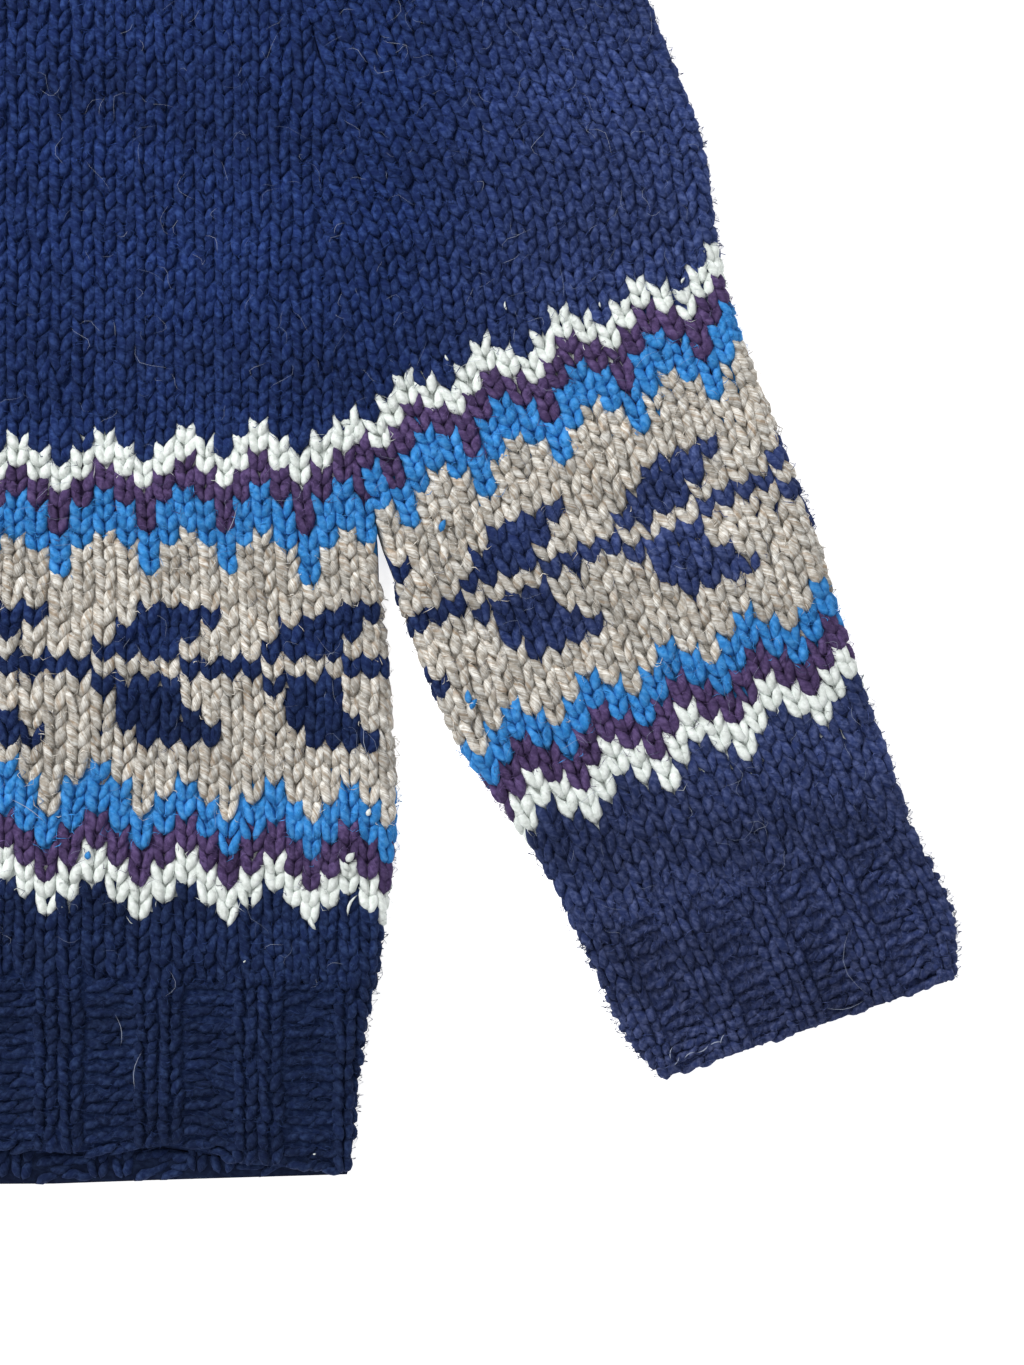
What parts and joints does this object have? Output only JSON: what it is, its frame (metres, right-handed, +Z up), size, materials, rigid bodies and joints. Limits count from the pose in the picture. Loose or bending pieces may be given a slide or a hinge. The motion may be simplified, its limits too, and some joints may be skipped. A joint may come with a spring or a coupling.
{
  "type": "fair isle sweater",
  "caption": "Hand-knitted crew-neck pullover laid flat, with long sleeves, ribbed hem, cuffs and neckband, and a patterned band of coloured knitting round body and sleeves.",
  "frame": {"origin": "on the surface that the pullover lies on, under the middle of its outline", "axes": "+Z up out of the front, +Y from the hem to the neck, +X towards the wearer's left sleeve"},
  "size_m": [0.9202, 0.69, 0.0138],
  "materials": {
    "navy_wool": "matt bulky wool yarn with a soft halo of fibres",
    "cream_wool": "matt bulky wool yarn, undyed cream",
    "purple_wool": "matt bulky wool yarn, dark purple",
    "blue_wool": "matt bulky wool yarn, bright blue",
    "oatmeal_wool": "matt bulky wool yarn, oatmeal marl with tan flecks"
  },
  "bodies": {
    "root": {"front": "navy_wool", "back": "navy_wool", "sleeve_left": "navy_wool", "sleeve_right": "navy_wool", "neckband": "navy_wool"}
  },
  "joints": []
}
